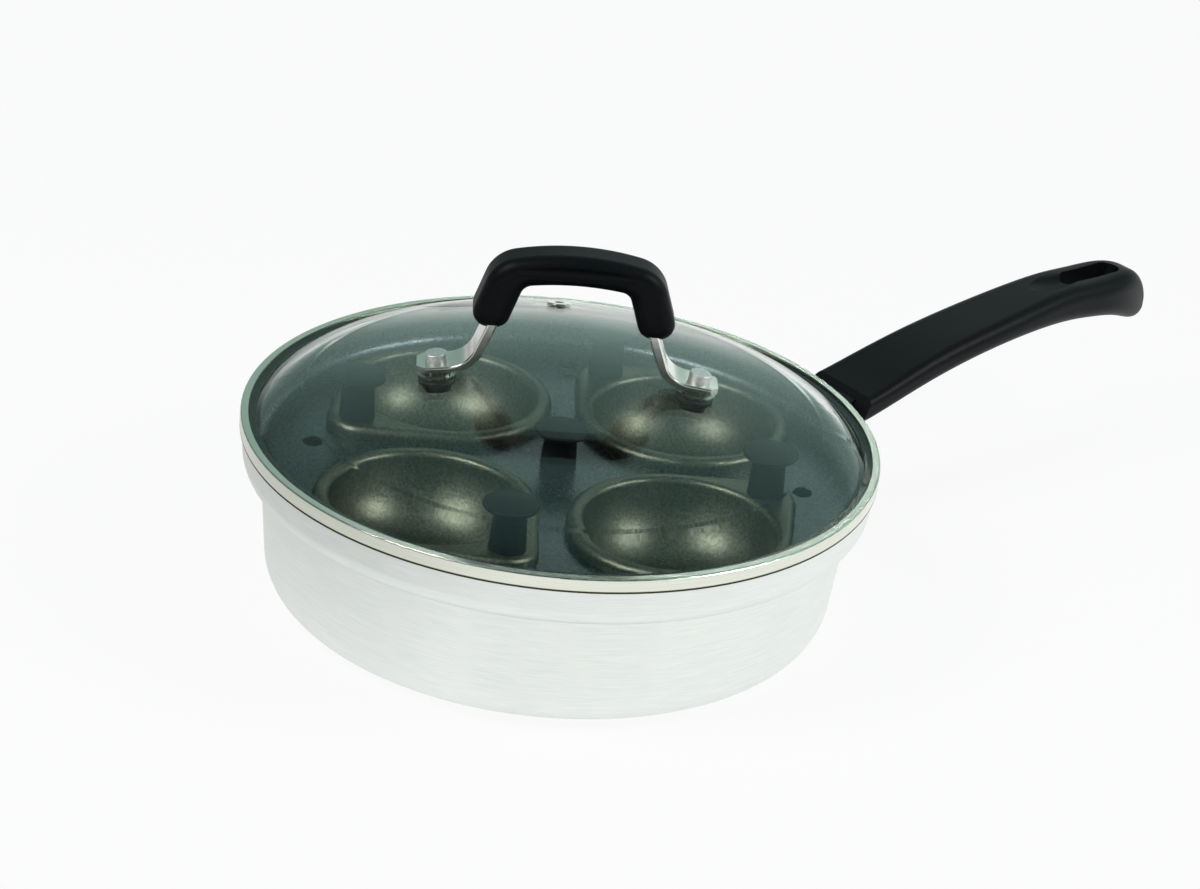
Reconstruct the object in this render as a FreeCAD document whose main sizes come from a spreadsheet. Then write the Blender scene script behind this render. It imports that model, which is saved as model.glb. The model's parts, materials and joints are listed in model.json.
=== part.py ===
import FreeCAD, Part
import math
import os
import re
import Sketcher

# Egg poacher pan: a stepped aluminium pan with a long handle, a tray with four lift-out cups,
# and a domed glass lid. Millimetres, Z up, the middle of the pan's flat base at the origin and
# the long handle along X.

VECTOR = FreeCAD.Vector
UP = VECTOR(0, 0, 1)
ACROSS = VECTOR(0, 1, 0)

SIZES = {
    # Pan: one spun shell, with a step that carries the tray
    "pan_rim_radius": 101.7,
    "pan_rim_height": 54.4,
    "pan_wall": 1.8,
    "pan_floor": 2.6,
    "pan_step_drop": 13.6,
    "pan_step_bend": 6.2,
    "pan_wall_lean": 5.5,
    "pan_foot_bend": 12.0,
    "pan_inner_bend": 9.6,
    # Tray that sits on the step, with vents in from its lip and room for a ring of cups
    "tray_turn": -41.3,
    "tray_sheet": 1.2,
    "tray_bend_ease": 0.5,
    "tray_side_clearance": 0.4,
    "tray_lip_drop": 1.0,
    "vent_inset": 20.7,
    "vent_radius": 3.3,
    "cup_count": 4,
    "cup_gap": 8.2,
    "cup_edge_gap": 8.0,
    "cup_hole_clearance": 0.6,
    # Cups: a bowl in a tear-shaped flange whose edge turns down onto the tray
    "cup_sheet": 1.0,
    "cup_rise": 4.4,
    "cup_lip": 5.5,
    "cup_lip_flat": 0.9,
    "cup_mouth_round": 2.0,
    "cup_tab_radius": 12.0,
    "cup_tab_inset": 0.5,
    "cup_bowl_depth": 22.0,
    "cup_knob_shift": 3.0,
    "cup_knob_height": 15.0,
    # Knobs of the cups and of the tray, with the screws that hold them
    "tray_knob_height": 14.2,
    "knob_waist_radius": 5.3,
    "knob_stem_spread": 0.6,
    "knob_flare": 2.6,
    "knob_cap_rim": 0.25,
    "knob_cap_edge": 1.5,
    "knob_cap_crown": 0.7,
    "screw_radius": 1.8,
    "screw_hole_clearance": 0.15,
    "screw_grip": 8.0,
    "screw_head_radius": 3.8,
    "screw_head_height": 1.4,
    # Lid: rolled steel rim round a domed glass
    "lid_turn": -37.35,
    "rim_overhang": 1.3,
    "rim_height": 4.8,
    "rim_sheet": 0.7,
    "rim_lip": 2.5,
    "rim_skirt_clearance": 0.6,
    "rim_skirt_depth": 3.0,
    "rim_round": 0.5,
    "glass_edge_clearance": 0.2,
    "glass_rise": 18.4,
    "glass_crown_share": 0.624,
    "glass_flange_run": 5.0,
    "glass_shoulder_run": 14.0,
    "grommet_inset": 7.5,
    "grommet_bore": 1.5,
    "grommet_tube_radius": 2.6,
    "grommet_flange_radius": 4.2,
    "grommet_flange_height": 0.8,
    "grommet_clearance": 0.1,
    # Lid handle: two bent straps bolted through the glass, with a moulded grip across them
    "bolt_circle": 41.5,
    "bolt_radius": 2.0,
    "bolt_head_radius": 3.5,
    "bolt_head_height": 2.7,
    "bolt_head_round": 0.5,
    "bolt_hole_clearance": 0.4,
    "collar_radius": 5.6,
    "collar_flange_radius": 6.3,
    "collar_flange_height": 0.6,
    "collar_height": 2.6,
    "gasket_radius": 6.0,
    "gasket_height": 1.2,
    "glass_seat_gap": 0.07,
    "nut_radius": 4.4,
    "nut_height": 2.6,
    "strap_thickness": 2.0,
    "strap_leg_depth": 3.2,
    "strap_width": 12.8,
    "strap_tip": 6.2,
    "strap_corner": 2.4,
    "strap_run": 3.7,
    "strap_bend": 9.5,
    "strap_rise": 70.0,
    "strap_edge_round": 0.6,
    "strap_hold": 8.5,
    "strap_clearance": 0.15,
    "grip_depth": 15.0,
    "grip_lift": 16.6,
    "grip_height": 26.15,
    "grip_inset": 21.5,
    "grip_top_sag": 2.3,
    "grip_shoulder": 12.2,
    "grip_leg_lean": 18.0,
    "grip_leg_width": 11.9,
    "grip_foot_share": 0.42,
    "grip_edge_share": 0.27,
    "grip_bar_height": 10.0,
    "grip_arch_inset": 5.8,
    "grip_arch_sag": 1.05,
    "finger_scoop_drop": 5.2,
    "finger_scoop_depth": 0.9,
    "finger_scoop_half_length": 38.0,
    "finger_scoop_half_width": 5.0,
    "finger_scoop_half_height": 4.8,
    # Pan handle: sections from the neck to the hooked tip, each with how far it lies from the
    # neck, its width, how far its top lies above the neck's, its depth and its corner round
    "neck_gap": 20.8,
    "neck_drop": 9.1,
    "neck_width": 28.2,
    "neck_depth": 8.2,
    "neck_round": 2.5,
    "neck_lean": 25.0,
    "neck_lean_gap": 0.3,
    "throat_run": 27.5,
    "throat_width": 27.2,
    "throat_lift": 7.4,
    "throat_depth": 8.8,
    "throat_round": 3.5,
    "waist_run": 57.5,
    "waist_width": 26.0,
    "waist_lift": 13.9,
    "waist_depth": 9.2,
    "waist_round": 4.2,
    "palm_run": 83.5,
    "palm_width": 24.7,
    "palm_lift": 17.9,
    "palm_depth": 10.4,
    "palm_round": 4.6,
    "rest_run": 109.5,
    "rest_width": 22.8,
    "rest_lift": 20.4,
    "rest_depth": 13.2,
    "rest_round": 5.0,
    "flare_run": 127.7,
    "flare_width": 22.2,
    "flare_lift": 20.3,
    "flare_depth": 15.6,
    "flare_round": 5.4,
    "lobe_run": 138.8,
    "lobe_width": 17.6,
    "lobe_lift": 19.5,
    "lobe_depth": 18.6,
    "lobe_round": 5.4,
    "tip_run": 145.4,
    "tip_width": 12.8,
    "tip_lift": 15.7,
    "tip_depth": 16.8,
    "tip_round": 4.8,
    "nose_run": 148.9,
    "nose_width": 9.6,
    "nose_lift": 9.7,
    "nose_depth": 9.6,
    "nose_round": 3.4,
    "slot_run": 122.0,
    "slot_length": 27.0,
    "slot_width": 9.0,
    "scoop_run": 102.5,
    "scoop_half_length": 16.0,
    "scoop_half_width": 6.6,
    "scoop_half_height": 5.0,
    "scoop_depth": 2.4,
    # Bracket that joins the handle to the pan, and the screw that holds the handle on it
    "bracket_gap": 0.05,
    "bracket_plate": 2.5,
    "bracket_spread": 24.0,
    "bracket_drop": 3.3,
    "bracket_plate_height": 22.5,
    "bracket_arm_width": 17.0,
    "bracket_arm_root": 14.4,
    "bracket_arm_depth": 5.6,
    "tang_width": 14.0,
    "tang_depth": 3.6,
    "tang_length": 34.0,
    "tang_clearance": 0.15,
    "handle_screw_run": 20.0,
    "handle_screw_cover": 0.9,
}

# Sizes that follow from the ones above
DERIVED = {
    "pan_step_height": "pan_rim_height - pan_step_drop",
    "tray_radius": "pan_rim_radius - pan_wall - tray_side_clearance",
    "tray_bend": "pan_step_bend - pan_wall + tray_bend_ease",
    "vent_circle": "tray_radius - vent_inset",
    "cup_sine": "sin(180 deg / cup_count)",
    "cup_circle": "(tray_radius - cup_edge_gap + cup_gap / 2) / (1 + cup_sine)",
    "cup_flange_radius": "cup_circle * cup_sine - cup_gap / 2",
    "cup_tab_reach": "cup_flange_radius - cup_tab_inset",
    "cup_knob_reach": "cup_tab_reach + cup_knob_shift",
    "cup_bowl_radius": "cup_flange_radius - cup_lip",
    "cup_edge_round": "cup_lip - cup_lip_flat - cup_mouth_round",
    "knob_stem_radius": "knob_waist_radius + knob_stem_spread",
    "knob_cap_flat": "knob_waist_radius + knob_flare + knob_cap_rim",
    "knob_cap_radius": "knob_cap_flat + knob_cap_edge / 2",
    "rim_radius": "pan_rim_radius + rim_overhang",
    "rim_skirt_radius": "tray_radius - tray_sheet - rim_skirt_clearance",
    "glass_flange_radius": "rim_radius - glass_flange_run",
    "glass_shoulder_radius": "glass_flange_radius - glass_shoulder_run",
    "glass_apex_height": "pan_rim_height + rim_height + glass_rise",
    "glass_crown_sag": "glass_rise * glass_crown_share",
    "glass_crown_radius": "(glass_shoulder_radius ^ 2 + glass_crown_sag ^ 2) / (2 * glass_crown_sag)",
    "grommet_circle": "glass_shoulder_radius - grommet_inset",
    "grip_foot_height": "glass_apex_height + grip_lift",
    "grip_top_height": "grip_foot_height + grip_height",
    "grip_foot_corner": "grip_leg_width * grip_foot_share",
    "grip_edge_round": "grip_depth * grip_edge_share",
    "grip_top_half": "bolt_circle - grip_inset",
    "grip_top_bend": "(grip_top_half ^ 2 + grip_top_sag ^ 2) / (2 * grip_top_sag)",
    "grip_top_sine": "grip_top_half / grip_top_bend",
    "grip_leg_sine": "sin(grip_leg_lean * 1 deg)",
    "grip_leg_cosine": "cos(grip_leg_lean * 1 deg)",
    "shoulder_reach": "grip_top_half - grip_shoulder * grip_top_sine",
    "shoulder_height": "grip_top_height - grip_top_sag - grip_shoulder * sqrt(1 - grip_top_sine ^ 2)",
    "arch_half": "grip_top_half - grip_arch_inset",
    "arch_height": "grip_top_height - grip_bar_height - grip_arch_sag",
    "arch_bend": "(arch_half ^ 2 + grip_arch_sag ^ 2) / (2 * grip_arch_sag)",
    "arch_sine": "arch_half / arch_bend",
    "arch_cosine": "sqrt(1 - arch_sine ^ 2)",
    "finger_scoop_height": "grip_top_height - finger_scoop_drop",
    "finger_scoop_out": "grip_depth / 2 + finger_scoop_half_width - finger_scoop_depth",
    "strap_end_height": "grip_foot_height + strap_hold",
    "neck_reach": "pan_rim_radius + neck_gap",
    "neck_top": "pan_rim_height - neck_drop",
    "tang_rise": "(throat_lift - (throat_depth - neck_depth) / 2) / throat_run",
    "handle_screw_reach": "neck_reach + handle_screw_run",
    "slot_reach": "neck_reach + slot_run",
    "scoop_reach": "neck_reach + scoop_run",
    "bracket_plate_high": "pan_step_height - bracket_drop",
    "bracket_plate_low": "bracket_plate_high - bracket_plate_height",
}

# Sections of the pan handle, from the pan outward
HANDLE_STATIONS = ("neck", "throat", "waist", "palm", "rest", "flare", "lobe", "tip", "nose")
for station in HANDLE_STATIONS[1:]:
    DERIVED[station + "_reach"] = "neck_reach + %s_run" % station
    DERIVED[station + "_top"] = "neck_top + %s_lift" % station

doc = FreeCAD.newDocument("egg_poacher_pan")
sheet = doc.addObject("Spreadsheet::Sheet", "Sizes")
cells = {alias: str(size) for alias, size in SIZES.items()}
cells.update({alias: "=" + rule for alias, rule in DERIVED.items()})
for row, alias in enumerate(cells, start=1):
    sheet.set("A%d" % row, alias)
    sheet.setAlias("B%d" % row, alias)
for row, content in enumerate(cells.values(), start=1):
    sheet.set("B%d" % row, content)
doc.recompute()

ALIAS_PATTERN = re.compile(r"\b(%s)\b" % "|".join(cells))
nodes = []


def formula(text):
    """Turn plain size names into references to the sheet's cells."""
    return ALIAS_PATTERN.sub(r"Sizes.\1", text)


def value(text):
    """Work out a formula of size names as a plain number."""
    return float(sheet.evalExpression(formula(text)))


def bind(thing, name, text):
    thing.setExpression(name, formula(text))


# Places that several pieces share

SEAT = "(pan_step_height + pan_wall)"
TRAY_TOP = "(%s + tray_sheet)" % SEAT
CUP_TOP = "(%s + cup_rise)" % TRAY_TOP
CUP_UNDER = "(%s - cup_sheet)" % CUP_TOP
STEP = "(pan_rim_radius - pan_step_bend)"
LEAN_SIN = "sin(pan_wall_lean * 1 deg)"
LEAN_COS = "cos(pan_wall_lean * 1 deg)"
GLASS = "(rim_height - 2 * rim_sheet)"
GLASS_UNDER = "(pan_rim_height + rim_sheet)"
GLASS_FLANGE_TOP = "(pan_rim_height + rim_height - rim_sheet)"


def body_named(label, placement=None):
    body = doc.addObject("PartDesign::Body", label)
    body.Label = label
    if placement is not None:
        body.Placement = placement
    return body


def sketch_on(body, name, plane, lift=None, offset=None):
    """A sketch on one of the body's own planes, lifted off it or set at a slant."""
    sketch = body.newObject("Sketcher::SketchObject", name)
    planes = {feature.Role: feature for feature in body.Origin.OriginFeatures}
    sketch.AttachmentSupport = [(planes[plane], "")]
    sketch.MapMode = "FlatFace"
    if offset is not None:
        sketch.AttachmentOffset = offset
    if lift is not None:
        bind(sketch, "AttachmentOffset.Base.z", lift)
    return sketch


def arc_middle(start, end, radius, side):
    """Middle of the short arc between two points, its centre left (1) or right (-1) of the way."""
    chord = end - start
    left = VECTOR(-chord.y, chord.x, 0).normalize()
    rise = radius - math.sqrt(max(radius ** 2 - (chord.Length / 2) ** 2, 0.0))
    return (start + end) * 0.5 - left * (side * rise)


def outline(sketch, steps):
    """Closed outline. A step is a corner (x, y), or (x, y, radius, side) where an arc leaves it."""
    corners = [VECTOR(value(step[0]), value(step[1]), 0) for step in steps]
    ends = []
    for step, start, end in zip(steps, corners, corners[1:] + corners[:1]):
        if len(step) == 2:
            edge = sketch.addGeometry(Part.LineSegment(start, end), False)
        else:
            middle = arc_middle(start, end, value(step[2]), step[3])
            edge = sketch.addGeometry(Part.Arc(start, middle, end), False)
            turn = sketch.addConstraint(Sketcher.Constraint("Radius", edge, value(step[2])))
            bind(sketch, "Constraints[%d]" % turn, step[2])
        from_start = sketch.getPoint(edge, 1).distanceToPoint(start)
        first = 1 if from_start <= sketch.getPoint(edge, 2).distanceToPoint(start) else 2
        ends.append((edge, first, 3 - first))
    for (edge, first, last), step, corner in zip(ends, steps, corners):
        for kind, text, size in (("DistanceX", step[0], corner.x), ("DistanceY", step[1], corner.y)):
            held = sketch.addConstraint(Sketcher.Constraint(kind, -1, 1, edge, first, size))
            bind(sketch, "Constraints[%d]" % held, text)
    for (edge, first, last), (following, start, end) in zip(ends, ends[1:] + ends[:1]):
        sketch.addConstraint(Sketcher.Constraint("Coincident", edge, last, following, start))


def circle(sketch, x, y, radius):
    """Full circle at a place given by formulas."""
    middle = VECTOR(value(x), value(y), 0)
    edge = sketch.addGeometry(Part.Circle(middle, UP, value(radius)), False)
    for kind, text, size in (("DistanceX", x, middle.x), ("DistanceY", y, middle.y)):
        held = sketch.addConstraint(Sketcher.Constraint(kind, -1, 1, edge, 3, size))
        bind(sketch, "Constraints[%d]" % held, text)
    held = sketch.addConstraint(Sketcher.Constraint("Radius", edge, value(radius)))
    bind(sketch, "Constraints[%d]" % held, radius)


def revolved(body, name, steps, kind="Revolution", angle=None):
    """Turn an outline drawn in the XZ plane about the body's Z axis."""
    sketch = sketch_on(body, name + "_outline", "XZ_Plane")
    outline(sketch, steps)
    turned = body.newObject("PartDesign::" + kind, name)
    turned.Profile = sketch
    turned.ReferenceAxis = (sketch, ["V_Axis"])
    if angle is None:
        turned.Angle = 360
    else:
        bind(turned, "Angle", angle)
        turned.Midplane = True
    doc.recompute()
    return turned


def pushed(body, name, sketch, length, kind="Pad", both=False, reverse=False):
    """Pad or pocket a sketch, to both sides of its plane where asked."""
    push = body.newObject("PartDesign::" + kind, name)
    push.Profile = sketch
    push.Reversed = reverse
    if both:
        push.SideType = "Symmetric"
    bind(push, "Length", length)
    doc.recompute()
    return push


def rounded(body, name, base, edges, radius):
    """Fillet the chosen edges of a feature."""
    fillet = body.newObject("PartDesign::Fillet", name)
    fillet.Base = (base, edges)
    bind(fillet, "Radius", radius)
    doc.recompute()
    return fillet


def edges_where(feature, test):
    """Names of a feature's edges whose box passes a test."""
    return ["Edge%d" % (number + 1)
            for number, edge in enumerate(feature.Shape.Edges) if test(edge.BoundBox)]


def level_at(height):
    return lambda box: abs(box.ZMin - height) < 0.01 and abs(box.ZMax - height) < 0.01


def keep(thing):
    nodes.append(thing)
    return thing


def turned_by(angle):
    return FreeCAD.Placement(VECTOR(), FreeCAD.Rotation(UP, angle))


def on_dome(circle_radius, angle):
    """Place on the outside of the glass, Z along the way the glass faces there."""
    crown = value("glass_crown_radius")
    tilt = math.asin(value(circle_radius) / crown)
    height = value("glass_apex_height") - crown * (1 - math.cos(tilt))
    slant = FreeCAD.Placement(VECTOR(value(circle_radius), 0, height),
                              FreeCAD.Rotation(ACROSS, math.degrees(tilt)))
    return turned_by(angle).multiply(slant)


# Pan shell: floor, leaning wall, a step whose inside carries the tray, upright rim

def pan_shell():
    foot = "(%s + ((pan_foot_bend - pan_step_height) * %s - pan_foot_bend) / %s)" % (STEP, LEAN_SIN, LEAN_COS)
    inner_rise = "(pan_floor + pan_inner_bend - pan_step_height)"
    inner = "(%s + (%s * %s - pan_inner_bend - pan_wall) / %s)" % (STEP, inner_rise, LEAN_SIN, LEAN_COS)
    step_top = "(pan_step_height + pan_step_bend)"
    body = body_named("pan_shell")
    revolved(body, "pan_shell_turn", [
        ("0", "0"),
        (foot, "0", "pan_foot_bend", 1),
        (foot + " + pan_foot_bend * " + LEAN_COS, "pan_foot_bend * (1 - %s)" % LEAN_SIN),
        (STEP, "pan_step_height", "pan_step_bend", 1),
        ("pan_rim_radius", step_top),
        ("pan_rim_radius", "pan_rim_height"),
        ("pan_rim_radius - pan_wall", "pan_rim_height"),
        ("pan_rim_radius - pan_wall", step_top, "pan_step_bend - pan_wall", -1),
        (STEP, SEAT),
        ("%s + pan_wall * (%s - 1) / %s" % (STEP, LEAN_SIN, LEAN_COS), SEAT),
        (inner + " + pan_inner_bend * " + LEAN_COS,
         "pan_floor + pan_inner_bend * (1 - %s)" % LEAN_SIN, "pan_inner_bend", -1),
        (inner, "pan_floor"),
        ("0", "pan_floor"),
    ])
    return keep(body)


# Bracket: a curved plate on the pan's wall, an arm, and a tang inside the handle

def tang_height(reach):
    """Middle of the tang at a distance out from the pan's axis."""
    return "(neck_top - neck_depth / 2 + (%s - neck_reach) * tang_rise)" % reach


def wall_at(height):
    """Outside of the leaning wall at a height."""
    return "(%s - (pan_step_height - %s) * tan(pan_wall_lean * 1 deg))" % (STEP, height)


def handle_bracket():
    body = body_named("handle_bracket")
    low = wall_at("bracket_plate_low") + " + bracket_gap"
    high = wall_at("bracket_plate_high") + " + bracket_gap"
    revolved(body, "bracket_plate_turn", [
        (low, "bracket_plate_low"),
        (low + " + bracket_plate", "bracket_plate_low"),
        (high + " + bracket_plate", "bracket_plate_high"),
        (high, "bracket_plate_high"),
    ], angle="bracket_spread")
    arm = sketch_on(body, "bracket_arm_outline", "XZ_Plane")
    root = wall_at("bracket_plate_high") + " + bracket_plate / 2"
    outline(arm, [
        (root, "bracket_plate_high - bracket_arm_root"),
        ("neck_reach", tang_height("neck_reach") + " - bracket_arm_depth / 2"),
        ("neck_reach", tang_height("neck_reach") + " + bracket_arm_depth / 2"),
        (root, "bracket_plate_high"),
    ])
    pushed(body, "bracket_arm", arm, "bracket_arm_width", both=True)
    tang = sketch_on(body, "tang_outline", "XZ_Plane")
    end = "(neck_reach + tang_length)"
    outline(tang, [
        ("neck_reach - tang_depth", tang_height("neck_reach - tang_depth") + " - tang_depth / 2"),
        (end, tang_height(end) + " - tang_depth / 2"),
        (end, tang_height(end) + " + tang_depth / 2"),
        ("neck_reach - tang_depth", tang_height("neck_reach - tang_depth") + " + tang_depth / 2"),
    ])
    pushed(body, "tang", tang, "tang_width", both=True)
    hole = sketch_on(body, "tang_screw_hole_outline", "XY_Plane")
    circle(hole, "handle_screw_reach", "0", "screw_radius + screw_hole_clearance")
    pushed(body, "tang_screw_hole", hole, tang_height("handle_screw_reach"), kind="Pocket", reverse=True)
    return keep(body)


# Pan handle: lofted through its sections, with a hanging slot and a thumb scoop

def handle_section(body, station):
    sketch = sketch_on(body, station + "_section", "YZ_Plane", lift=station + "_reach")
    half = station + "_width / 2"
    top = station + "_top"
    bottom = "(%s_top - %s_depth)" % (station, station)
    bend = station + "_round"
    outline(sketch, [
        ("-(%s) + %s" % (half, bend), bottom),
        ("%s - %s" % (half, bend), bottom, bend, 1),
        (half, bottom + " + " + bend),
        (half, top + " - " + bend, bend, 1),
        ("%s - %s" % (half, bend), top),
        ("-(%s) + %s" % (half, bend), top, bend, 1),
        ("-(%s)" % half, top + " - " + bend),
        ("-(%s)" % half, bottom + " + " + bend, bend, 1),
    ])
    return sketch


def handle_screw_seat():
    """Underside of the screw head, a cover's thickness inside the tang's lower face."""
    return "(%s - tang_depth / 2 - handle_screw_cover)" % tang_height("handle_screw_reach")


def pan_handle():
    body = body_named("pan_handle")
    sections = [handle_section(body, station) for station in HANDLE_STATIONS]
    loft = body.newObject("PartDesign::AdditiveLoft", "handle_loft")
    loft.Profile = sections[0]
    loft.Sections = sections[1:]
    doc.recompute()
    lean = sketch_on(body, "neck_lean_outline", "XZ_Plane")
    low = "(neck_top - 2 * neck_depth)"
    high = "(neck_top + neck_depth)"
    slant = "neck_reach + neck_lean_gap + (%s - neck_top + neck_depth) * tan(neck_lean * 1 deg)"
    outline(lean, [
        (slant % low, low),
        (slant % high, high),
        ("neck_reach - neck_depth", high),
        ("neck_reach - neck_depth", low),
    ])
    pushed(body, "neck_lean_cut", lean, "2 * neck_width", kind="Pocket", both=True)
    slot = sketch_on(body, "hanging_slot_outline", "XY_Plane")
    half = "(slot_length - slot_width) / 2"
    outline(slot, [
        ("slot_reach - " + half, "-slot_width / 2"),
        ("slot_reach + " + half, "-slot_width / 2", "slot_width / 2", 1),
        ("slot_reach + slot_length / 2", "0", "slot_width / 2", 1),
        ("slot_reach + " + half, "slot_width / 2"),
        ("slot_reach - " + half, "slot_width / 2", "slot_width / 2", 1),
        ("slot_reach - slot_length / 2", "0", "slot_width / 2", 1),
    ])
    pushed(body, "hanging_slot", slot, "2 * rest_top", kind="Pocket", reverse=True)
    scoop = body.newObject("PartDesign::SubtractiveEllipsoid", "thumb_scoop")
    bind(scoop, "Radius1", "scoop_half_height")
    bind(scoop, "Radius2", "scoop_half_length")
    bind(scoop, "Radius3", "scoop_half_width")
    bind(scoop, "Placement.Base.x", "scoop_reach")
    bind(scoop, "Placement.Base.z", "rest_top + scoop_half_height - scoop_depth")
    doc.recompute()
    socket = sketch_on(body, "tang_socket_outline", "XZ_Plane")
    half_socket = " tang_depth / 2 + tang_clearance"
    end = "(neck_reach + tang_length + tang_clearance)"
    mouth = "(neck_reach - tang_depth)"
    outline(socket, [
        (mouth, tang_height(mouth) + " -(%s)" % half_socket),
        (end, tang_height(end) + " -(%s)" % half_socket),
        (end, tang_height(end) + " +" + half_socket),
        (mouth, tang_height(mouth) + " +" + half_socket),
    ])
    pushed(body, "tang_socket", socket, "tang_width + 2 * tang_clearance", kind="Pocket", both=True)
    hole = sketch_on(body, "handle_screw_hole_outline", "XY_Plane")
    circle(hole, "handle_screw_reach", "0", "screw_radius + screw_hole_clearance")
    pushed(body, "handle_screw_hole", hole, tang_height("handle_screw_reach"), kind="Pocket", reverse=True)
    well = sketch_on(body, "handle_screw_well_outline", "XY_Plane")
    circle(well, "handle_screw_reach", "0", "screw_head_radius + screw_hole_clearance")
    pushed(body, "handle_screw_well", well, handle_screw_seat(), kind="Pocket", reverse=True)
    return keep(body)


def screw(label, place, length):
    """Screw that points up, the underside of its head at the body's origin."""
    body = body_named(label, place)
    revolved(body, label + "_turn", [
        ("0", "-screw_head_height"),
        ("screw_head_radius", "-screw_head_height"),
        ("screw_head_radius", "0"),
        ("screw_radius", "0"),
        ("screw_radius", length),
        ("0", length),
    ])
    return keep(body)


def handle_screw():
    place = FreeCAD.Placement(VECTOR(value("handle_screw_reach"), 0, value(handle_screw_seat())),
                              FreeCAD.Rotation())
    return screw("handle_screw", place, "handle_screw_cover + tang_depth / 2")


# Tray: dished plate with four cup holes and four vents

def poaching_tray():
    body = body_named("poaching_tray", turned_by(value("tray_turn")))
    revolved(body, "tray_turned", [
        ("screw_radius + screw_hole_clearance", SEAT),
        ("tray_radius - tray_bend", SEAT, "tray_bend", 1),
        ("tray_radius", SEAT + " + tray_bend"),
        ("tray_radius", "pan_rim_height - tray_lip_drop"),
        ("tray_radius - tray_sheet", "pan_rim_height - tray_lip_drop"),
        ("tray_radius - tray_sheet", SEAT + " + tray_bend", "tray_bend - tray_sheet", -1),
        ("tray_radius - tray_bend", TRAY_TOP),
        ("screw_radius + screw_hole_clearance", TRAY_TOP),
    ])
    cup_hole = sketch_on(body, "cup_hole_outline", "XY_Plane")
    circle(cup_hole, "cup_circle * cos(180 deg / cup_count)", "cup_circle * cup_sine",
           "cup_bowl_radius + cup_sheet + cup_hole_clearance")
    first_hole = pushed(body, "cup_hole", cup_hole, "pan_rim_height", kind="Pocket", reverse=True)
    vent = sketch_on(body, "vent_outline", "XY_Plane")
    circle(vent, "vent_circle", "0", "vent_radius")
    first_vent = pushed(body, "vent", vent, "pan_rim_height", kind="Pocket", reverse=True)
    ring = body.newObject("PartDesign::PolarPattern", "cup_and_vent_ring")
    ring.Originals = [first_hole, first_vent]
    ring.Axis = (cup_hole, ["N_Axis"])
    ring.Angle = 360
    bind(ring, "Occurrences", "cup_count")
    body.Tip = ring
    doc.recompute()
    return keep(body)


def knob(label, place, height):
    """Mushroom knob: waisted stem, thin flared cap, blind hole for its screw."""
    hole = "screw_radius + screw_hole_clearance"
    cap = "(%s - knob_cap_crown - knob_cap_edge)" % height
    body = body_named(label, place)
    crown = "(knob_cap_flat ^ 2 + knob_cap_crown ^ 2) / (2 * knob_cap_crown)"
    revolved(body, label + "_turn", [
        (hole, "0"),
        ("knob_stem_radius", "0"),
        ("knob_waist_radius", cap + " - knob_flare", "knob_flare", -1),
        ("knob_waist_radius + knob_flare", cap),
        ("knob_cap_flat", cap, "knob_cap_edge / 2", 1),
        ("knob_cap_radius", cap + " + knob_cap_edge / 2", "knob_cap_edge / 2", 1),
        ("knob_cap_flat", cap + " + knob_cap_edge", crown, 1),
        ("0", height),
        ("0", "screw_grip + screw_hole_clearance"),
        (hole, "screw_grip + screw_hole_clearance"),
    ])
    return keep(body)


def lifted(height):
    return FreeCAD.Placement(VECTOR(0, 0, value(height)), FreeCAD.Rotation())


def tray_knob():
    knob("tray_knob", lifted(TRAY_TOP), "tray_knob_height")
    screw("tray_knob_screw", lifted(SEAT), "tray_sheet + screw_grip")


# Egg cups: tear-shaped flange with a turned-down edge, a round bowl, a knob on the tab

def tear_outline(sketch, inset):
    """Flange circle and tab circle joined by their common tangents."""
    big = "(cup_flange_radius - %s)" % inset
    small = "(cup_tab_radius - %s)" % inset
    cosine = "((cup_flange_radius - cup_tab_radius) / cup_tab_reach)"
    sine = "sqrt(1 - %s ^ 2)" % cosine
    outline(sketch, [
        ("-" + big, "0", big, 1),
        ("%s * %s" % (big, cosine), "-%s * %s" % (big, sine)),
        ("cup_tab_reach + %s * %s" % (small, cosine), "-%s * %s" % (small, sine), small, 1),
        ("cup_tab_reach + %s * %s" % (small, cosine), "%s * %s" % (small, sine)),
        ("%s * %s" % (big, cosine), "%s * %s" % (big, sine), big, 1),
    ])


def cup_place(number):
    """Where a cup stands in the tray; its tab points along the ring of cups."""
    angle = value("tray_turn") + 360.0 / value("cup_count") * (number - 0.5)
    out = turned_by(angle).multVec(VECTOR(value("cup_circle"), 0, 0))
    return FreeCAD.Placement(out, FreeCAD.Rotation(UP, angle + 90))


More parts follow.
